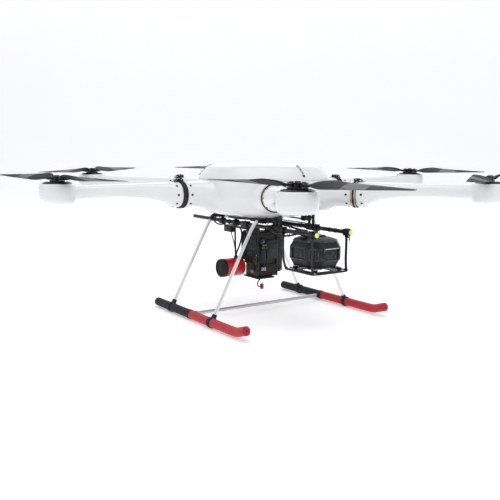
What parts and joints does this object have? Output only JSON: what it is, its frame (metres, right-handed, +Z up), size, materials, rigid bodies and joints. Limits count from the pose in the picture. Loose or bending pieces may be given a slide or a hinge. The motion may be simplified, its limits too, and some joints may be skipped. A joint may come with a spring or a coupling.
{
  "type": "hexacopter drone",
  "caption": "White multirotor survey drone with folding propellers on round arms, aluminium skid legs with foam sleeves, and camera and sensor payloads on belly rails.",
  "frame": {"origin": "centre of the belly's flat underside, where the payload plate bolts on", "axes": "+Z up along the fuselage axis, -Y towards the front, X across"},
  "size_m": [1.7964, 1.9627, 0.5761],
  "materials": {
    "white_shell": "gloss white moulding",
    "black_ring": "black anodised",
    "gold_ring": "champagne anodised",
    "stator_iron": "copper windings on black laminations",
    "black_alloy": "black anodised",
    "carbon": "carbon fibre weave",
    "black_plastic": "satin black",
    "grey_plastic": "satin dark grey",
    "battery_wrap": "satin",
    "bare_aluminium": "brushed",
    "red_foam": "matt foam",
    "black_foam": "matt foam",
    "red_plastic": "gloss red"
  },
  "bodies": {
    "airframe": {"fuselage_shell": "white_shell", "avionics_deck": "carbon", "flight_controller": "black_plastic", "battery_pack": "battery_wrap", "rail_left": "carbon", "rail_right": "carbon", "payload_plate": "black_plastic", "leg_front_left": "bare_aluminium", "leg_front_right": "bare_aluminium", "leg_rear_left": "bare_aluminium", "leg_rear_right": "bare_aluminium", "skid_tube_left": "bare_aluminium", "skid_tube_right": "bare_aluminium", "foam_rear_left": "black_foam", "foam_rear_right": "black_foam", "foam_front_left": "red_foam", "foam_front_right": "red_foam", "cross_tube": "bare_aluminium", "cradle": "black_alloy", "camera_case": "grey_plastic", "arm_left": "white_shell", "arm_rear_left": "white_shell", "arm_rear_right": "white_shell", "arm_right": "white_shell", "arm_front_right": "white_shell", "arm_front_left": "white_shell", "motor_stator_left": "stator_iron", "motor_stator_rear_left": "stator_iron", "motor_stator_rear_right": "stator_iron", "motor_stator_right": "stator_iron", "motor_stator_front_right": "stator_iron", "motor_stator_front_left": "stator_iron"},
    "hatch": {"top_hatch": "white_shell"},
    "rear_payload": {"sensor_module": "grey_plastic", "signal_drum": "red_plastic", "pigtail": "red_plastic"},
    "ring_left": {"lock_ring_left": "black_ring"},
    "ring_rear_left": {"lock_ring_rear_left": "black_ring"},
    "ring_rear_right": {"lock_ring_rear_right": "black_ring"},
    "ring_right": {"lock_ring_right": "black_ring"},
    "ring_front_right": {"lock_ring_front_right": "gold_ring"},
    "ring_front_left": {"lock_ring_front_left": "gold_ring"},
    "rotor_left": {"rotor_left": "black_alloy"},
    "blade_left_a": {"blade_left_a": "carbon"},
    "blade_left_b": {"blade_left_b": "carbon"},
    "rotor_rear_left": {"rotor_rear_left": "black_alloy"},
    "blade_rear_left_a": {"blade_rear_left_a": "carbon"},
    "blade_rear_left_b": {"blade_rear_left_b": "carbon"},
    "rotor_rear_right": {"rotor_rear_right": "black_alloy"},
    "blade_rear_right_a": {"blade_rear_right_a": "carbon"},
    "blade_rear_right_b": {"blade_rear_right_b": "carbon"},
    "rotor_right": {"rotor_right": "black_alloy"},
    "blade_right_a": {"blade_right_a": "carbon"},
    "blade_right_b": {"blade_right_b": "carbon"},
    "rotor_front_right": {"rotor_front_right": "black_alloy"},
    "blade_front_right_a": {"blade_front_right_a": "carbon"},
    "blade_front_right_b": {"blade_front_right_b": "carbon"},
    "rotor_front_left": {"rotor_front_left": "black_alloy"},
    "blade_front_left_a": {"blade_front_left_a": "carbon"},
    "blade_front_left_b": {"blade_front_left_b": "carbon"}
  },
  "joints": [
    {"name": "hatch_lift", "type": "slide", "parent": "airframe", "child": "hatch", "axis": [0, 0, 1], "range_m": [0, 0.15]},
    {"name": "payload_slide", "type": "slide", "parent": "airframe", "child": "rear_payload", "axis": [0, -1, 0], "range_m": [0, 0.1]},
    {"name": "ring_twist_left", "type": "hinge", "parent": "airframe", "child": "ring_left", "pos_m": [-0.369, 0, 0.0945], "axis": [-1, 0, 0], "range_deg": [0, 30]},
    {"name": "ring_twist_rear_left", "type": "hinge", "parent": "airframe", "child": "ring_rear_left", "pos_m": [-0.1845, 0.31956, 0.0945], "axis": [-0.5, 0.866, 0], "range_deg": [0, 30]},
    {"name": "ring_twist_rear_right", "type": "hinge", "parent": "airframe", "child": "ring_rear_right", "pos_m": [0.1845, 0.31956, 0.0945], "axis": [0.5, 0.866, 0], "range_deg": [0, 30]},
    {"name": "ring_twist_right", "type": "hinge", "parent": "airframe", "child": "ring_right", "pos_m": [0.369, 0, 0.0945], "axis": [1, 0, 0], "range_deg": [0, 30]},
    {"name": "ring_twist_front_right", "type": "hinge", "parent": "airframe", "child": "ring_front_right", "pos_m": [0.1845, -0.31956, 0.0945], "axis": [0.5, -0.866, 0], "range_deg": [0, 30]},
    {"name": "ring_twist_front_left", "type": "hinge", "parent": "airframe", "child": "ring_front_left", "pos_m": [-0.1845, -0.31956, 0.0945], "axis": [-0.5, -0.866, 0], "range_deg": [0, 30]},
    {"name": "rotor_spin_left", "type": "hinge", "parent": "airframe", "child": "rotor_left", "pos_m": [-0.82, 0, 0.16], "axis": [0, 0, 1], "continuous": true},
    {"name": "blade_fold_left_a", "type": "hinge", "parent": "rotor_left", "child": "blade_left_a", "pos_m": [-0.81457, -0.02132, 0.16], "axis": [0, 0, 1], "range_deg": [-75, 75]},
    {"name": "blade_fold_left_b", "type": "hinge", "parent": "rotor_left", "child": "blade_left_b", "pos_m": [-0.82543, 0.02132, 0.16], "axis": [0, 0, 1], "range_deg": [-75, 75]},
    {"name": "rotor_spin_rear_left", "type": "hinge", "parent": "airframe", "child": "rotor_rear_left", "pos_m": [-0.41, 0.71014, 0.16], "axis": [0, 0, 1], "continuous": true},
    {"name": "blade_fold_rear_left_a", "type": "hinge", "parent": "rotor_rear_left", "child": "blade_rear_left_a", "pos_m": [-0.39126, 0.72167, 0.16], "axis": [0, 0, 1], "range_deg": [-75, 75]},
    {"name": "blade_fold_rear_left_b", "type": "hinge", "parent": "rotor_rear_left", "child": "blade_rear_left_b", "pos_m": [-0.42874, 0.69861, 0.16], "axis": [0, 0, 1], "range_deg": [-75, 75]},
    {"name": "rotor_spin_rear_right", "type": "hinge", "parent": "airframe", "child": "rotor_rear_right", "pos_m": [0.41, 0.71014, 0.16], "axis": [0, 0, 1], "continuous": true},
    {"name": "blade_fold_rear_right_a", "type": "hinge", "parent": "rotor_rear_right", "child": "blade_rear_right_a", "pos_m": [0.39095, 0.72114, 0.16], "axis": [0, 0, 1], "range_deg": [-75, 75]},
    {"name": "blade_fold_rear_right_b", "type": "hinge", "parent": "rotor_rear_right", "child": "blade_rear_right_b", "pos_m": [0.42905, 0.69914, 0.16], "axis": [0, 0, 1], "range_deg": [-75, 75]},
    {"name": "rotor_spin_right", "type": "hinge", "parent": "airframe", "child": "rotor_right", "pos_m": [0.82, 0, 0.16], "axis": [0, 0, 1], "continuous": true},
    {"name": "blade_fold_right_a", "type": "hinge", "parent": "rotor_right", "child": "blade_right_a", "pos_m": [0.8234, -0.02174, 0.16], "axis": [0, 0, 1], "range_deg": [-75, 75]},
    {"name": "blade_fold_right_b", "type": "hinge", "parent": "rotor_right", "child": "blade_right_b", "pos_m": [0.8166, 0.02174, 0.16], "axis": [0, 0, 1], "range_deg": [-75, 75]},
    {"name": "rotor_spin_front_right", "type": "hinge", "parent": "airframe", "child": "rotor_front_right", "pos_m": [0.41, -0.71014, 0.16], "axis": [0, 0, 1], "continuous": true},
    {"name": "blade_fold_front_right_a", "type": "hinge", "parent": "rotor_front_right", "child": "blade_front_right_a", "pos_m": [0.39029, -0.71992, 0.16], "axis": [0, 0, 1], "range_deg": [-75, 75]},
    {"name": "blade_fold_front_right_b", "type": "hinge", "parent": "rotor_front_right", "child": "blade_front_right_b", "pos_m": [0.42971, -0.70036, 0.16], "axis": [0, 0, 1], "range_deg": [-75, 75]},
    {"name": "rotor_spin_front_left", "type": "hinge", "parent": "airframe", "child": "rotor_front_left", "pos_m": [-0.41, -0.71014, 0.16], "axis": [0, 0, 1], "continuous": true},
    {"name": "blade_fold_front_left_a", "type": "hinge", "parent": "rotor_front_left", "child": "blade_front_left_a", "pos_m": [-0.40618, -0.73181, 0.16], "axis": [0, 0, 1], "range_deg": [-75, 75]},
    {"name": "blade_fold_front_left_b", "type": "hinge", "parent": "rotor_front_left", "child": "blade_front_left_b", "pos_m": [-0.41382, -0.68847, 0.16], "axis": [0, 0, 1], "range_deg": [-75, 75]}
  ]
}
